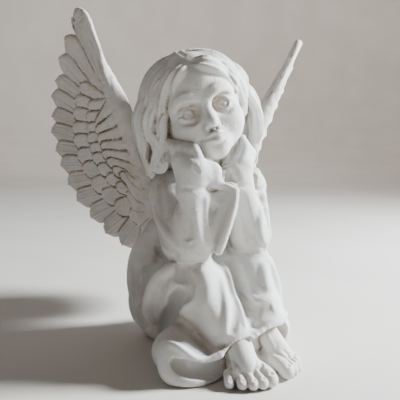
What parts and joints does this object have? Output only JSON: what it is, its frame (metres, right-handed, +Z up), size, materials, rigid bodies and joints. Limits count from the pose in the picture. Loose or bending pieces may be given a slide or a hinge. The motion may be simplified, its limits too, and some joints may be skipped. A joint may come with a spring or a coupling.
{
  "type": "angel figurine",
  "caption": "Seated child angel in a long robe, elbows on raised knees and chin in both hands, with two raised feathered wings, cast in matt resin.",
  "frame": {"origin": "centre of the felt disc on the underside, on the surface the figurine stands on", "axes": "+Z up, the figure sits facing -Y, its right hand is towards -X"},
  "size_m": [0.1105, 0.1131, 0.1306],
  "materials": {
    "cast_resin": "matt, weathered off-white with a thin tan and grey wash left in the grooves",
    "dowel_steel": "drawn wire, unpolished",
    "felt": "short-pile adhesive felt"
  },
  "bodies": {
    "root": {"robe_body": "cast_resin", "head": "cast_resin", "right_arm": "cast_resin", "left_arm": "cast_resin", "right_wing": "cast_resin", "left_wing": "cast_resin", "right_foot": "cast_resin", "left_foot": "cast_resin", "neck_dowel": "dowel_steel", "arm_dowels": "dowel_steel", "wing_dowels": "dowel_steel", "foot_dowels": "dowel_steel", "base_felt": "felt"}
  },
  "joints": []
}
